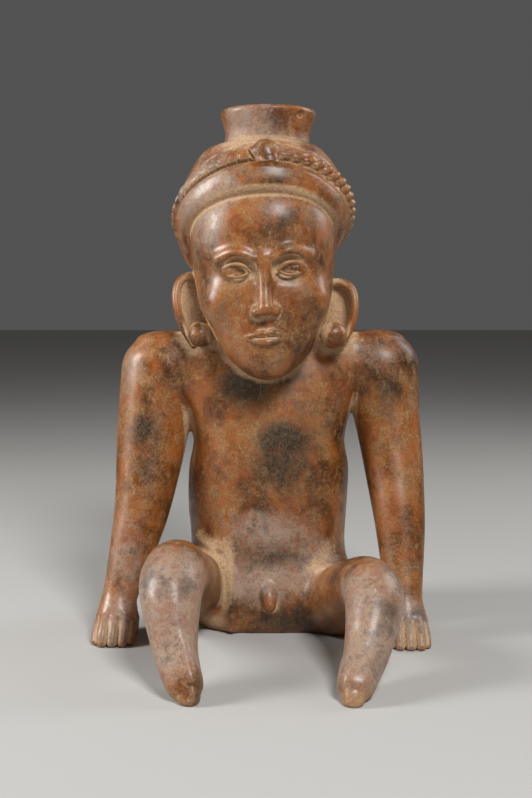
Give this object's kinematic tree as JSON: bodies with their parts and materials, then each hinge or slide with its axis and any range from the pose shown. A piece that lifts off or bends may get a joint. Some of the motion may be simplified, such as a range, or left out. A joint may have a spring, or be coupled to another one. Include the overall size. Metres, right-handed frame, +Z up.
{
  "type": "tumaco figural vessel",
  "caption": "Hollow burnished clay vessel shaped as a seated nude figure propped on its arms, with banded headdress, ear ornaments and a flared spout on the crown.",
  "frame": {"origin": "middle of the footprint's bounding box, on the floor", "axes": "+Z up through the spout, the figure faces -Y, +X to the figure's own left"},
  "size_m": [0.2276, 0.2526, 0.36],
  "materials": {
    "burnished_clay": "burnished red-brown slip, worn, with earth in the hollows and dark mottling"
  },
  "bodies": {
    "root": {"figural_vessel": "burnished_clay"}
  },
  "joints": []
}
